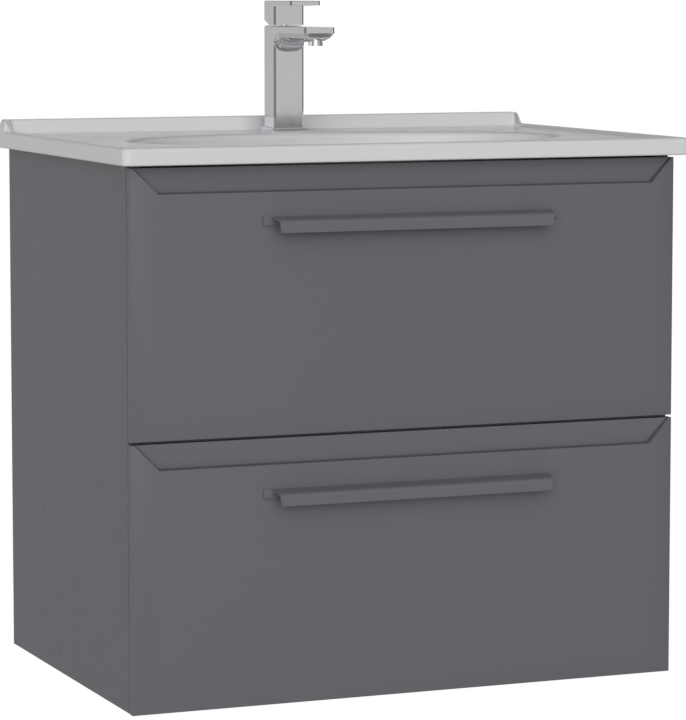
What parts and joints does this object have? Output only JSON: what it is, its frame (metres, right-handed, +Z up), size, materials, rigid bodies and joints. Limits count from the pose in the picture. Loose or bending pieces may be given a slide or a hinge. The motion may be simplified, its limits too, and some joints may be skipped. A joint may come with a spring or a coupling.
{
  "type": "bathroom vanity cabinet",
  "caption": "Wall-hung grey vanity cabinet with full-extension drawers, curved lip handles, a white ceramic basin, a square lever mixer, push-open waste and bottle trap.",
  "frame": {"origin": "centre of the four wall screws, on the wall plane", "axes": "+Y into the wall, the front looks along -Y, +X to the right seen from the front, +Z up"},
  "size_m": [0.654, 0.463, 0.7431],
  "materials": {
    "grey_lacquer": "satin-matt grey lacquer on MDF",
    "drawer_board": "light grey melamine board",
    "handle_lacquer": "grey lacquer to match the fronts",
    "ceramic": "gloss white glaze",
    "chrome": "polished",
    "zinc_steel": "zinc plated",
    "white_plastic": "white polypropylene",
    "rubber": "black"
  },
  "bodies": {
    "cabinet": {"side_left": "grey_lacquer", "side_right": "grey_lacquer", "bottom_panel": "grey_lacquer", "rail_front": "grey_lacquer", "rail_middle": "grey_lacquer", "rail_rear_top": "grey_lacquer", "rail_rear_bottom": "grey_lacquer", "hanger_left": "zinc_steel", "hanger_right": "zinc_steel", "wall_plate_left": "zinc_steel", "wall_plate_right": "zinc_steel", "wall_buffers": "rubber", "cam_fittings": "zinc_steel", "runner_screws": "zinc_steel", "upper_runner_outer_left": "zinc_steel", "upper_runner_outer_right": "zinc_steel", "lower_runner_outer_left": "zinc_steel", "lower_runner_outer_right": "zinc_steel", "basin": "ceramic", "basin_bowl": "ceramic", "waste_flange": "chrome", "waste_washer": "rubber", "waste_nut": "white_plastic", "trap_head": "white_plastic", "trap_cup": "white_plastic", "trap_nuts": "white_plastic", "trap_outlet_pipe": "white_plastic", "tap_base_plate": "chrome", "tap_body": "chrome", "tap_cartridge": "white_plastic", "tap_aerator": "chrome", "tap_stud": "zinc_steel", "tap_clamp": "zinc_steel", "tap_nut": "zinc_steel"},
    "upper_drawer": {"upper_front": "grey_lacquer", "upper_side_left": "drawer_board", "upper_side_right": "drawer_board", "upper_back": "drawer_board", "upper_bottom": "drawer_board", "upper_notch_wall": "drawer_board", "upper_handle": "handle_lacquer", "upper_handle_screws": "zinc_steel", "upper_runner_inner_left": "zinc_steel", "upper_runner_inner_right": "zinc_steel"},
    "lower_drawer": {"lower_front": "grey_lacquer", "lower_side_left": "drawer_board", "lower_side_right": "drawer_board", "lower_back": "drawer_board", "lower_bottom": "drawer_board", "lower_handle": "handle_lacquer", "lower_handle_screws": "zinc_steel", "lower_runner_inner_left": "zinc_steel", "lower_runner_inner_right": "zinc_steel"},
    "upper_runners": {"upper_runner_middle_left": "zinc_steel", "upper_runner_middle_right": "zinc_steel"},
    "lower_runners": {"lower_runner_middle_left": "zinc_steel", "lower_runner_middle_right": "zinc_steel"},
    "tap_turn": {"tap_spindle": "chrome"},
    "tap_lever": {"tap_lever": "chrome"},
    "waste_plug": {"waste_plug": "chrome"}
  },
  "joints": [
    {"name": "upper_drawer_slide", "type": "slide", "parent": "cabinet", "child": "upper_drawer", "axis": [0, -1, 0], "range_m": [0, 0.34]},
    {"name": "upper_runner_slide", "type": "slide", "parent": "cabinet", "child": "upper_runners", "axis": [0, -1, 0], "range_m": [0, 0.17]},
    {"name": "lower_drawer_slide", "type": "slide", "parent": "cabinet", "child": "lower_drawer", "axis": [0, -1, 0], "range_m": [0, 0.34]},
    {"name": "lower_runner_slide", "type": "slide", "parent": "cabinet", "child": "lower_runners", "axis": [0, -1, 0], "range_m": [0, 0.17]},
    {"name": "tap_turn_hinge", "type": "hinge", "parent": "cabinet", "child": "tap_turn", "pos_m": [0, -0.0675, 0.2135], "axis": [0, 0, 1], "range_deg": [-45, 45]},
    {"name": "tap_lift_hinge", "type": "hinge", "parent": "tap_turn", "child": "tap_lever", "pos_m": [0, -0.0675, 0.218], "axis": [-1, 0, 0], "range_deg": [0, 22]},
    {"name": "waste_plug_slide", "type": "slide", "parent": "cabinet", "child": "waste_plug", "axis": [0, 0, 1], "range_m": [0, 0.008]}
  ],
  "couplings": [
    {"joint": "upper_runner_slide", "follows": "upper_drawer_slide", "ratio": 0.5},
    {"joint": "lower_runner_slide", "follows": "lower_drawer_slide", "ratio": 0.5}
  ]
}
